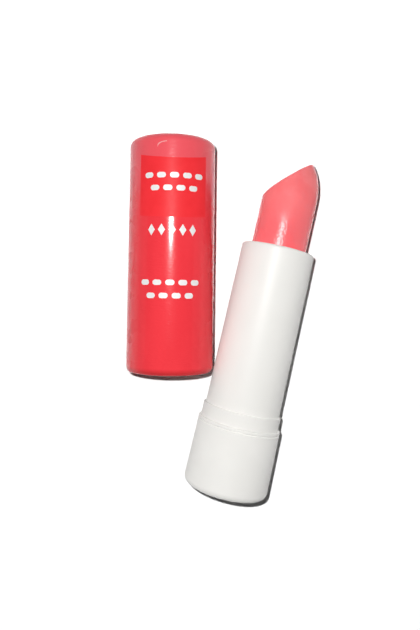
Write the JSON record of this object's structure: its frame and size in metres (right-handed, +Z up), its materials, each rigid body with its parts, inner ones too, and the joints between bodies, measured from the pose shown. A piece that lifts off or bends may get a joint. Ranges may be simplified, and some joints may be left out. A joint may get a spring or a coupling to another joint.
{
  "type": "lip balm stick",
  "caption": "Twist-up lip balm stick lying open: round base, turning tube with a collar, slant-cut balm raised on a helical screw, and a separate closed push-on cap.",
  "frame": {"origin": "on the table, under the middle of the footprint of the stick and cap together", "axes": "+Z up from the table, +Y along the cap's axis from its mouth to its closed end, +X towards the stick's side"},
  "size_m": [0.0416, 0.0774, 0.0189],
  "materials": {
    "base_plastic": "smooth moulded white plastic, softly glossy",
    "tube_plastic": "smooth moulded white plastic, softly glossy",
    "inner_plastic": "plain moulded white plastic",
    "balm": "waxy pink balm with a soft sheen",
    "cap_plastic": "glossy red plastic with a printed film"
  },
  "bodies": {
    "base": {"base_shell": "base_plastic", "guide_tube": "inner_plastic"},
    "tube": {"outer_tube": "tube_plastic", "screw_sleeve": "inner_plastic"},
    "carrier": {"carrier_cup": "inner_plastic", "balm_bullet": "balm"},
    "cap": {"cap_shell": "cap_plastic"}
  },
  "joints": [
    {"name": "tube_twist", "type": "hinge", "parent": "base", "child": "tube", "pos_m": [0.00111, -0.03704, 0.00949], "axis": [0.2061, 0.9782, -0.027], "range_deg": [-75, 645]},
    {"name": "balm_slide", "type": "slide", "parent": "base", "child": "carrier", "axis": [0.2061, 0.9782, -0.027], "range_m": [-0.0215, 0.0025]},
    {"name": "cap_pull", "type": "slide", "parent": "base", "child": "cap", "axis": [0, 1, 0], "range_m": [0, 0.052]}
  ],
  "couplings": [
    {"joint": "balm_slide", "follows": "tube_twist", "m_per_rad": -0.0019098}
  ]
}
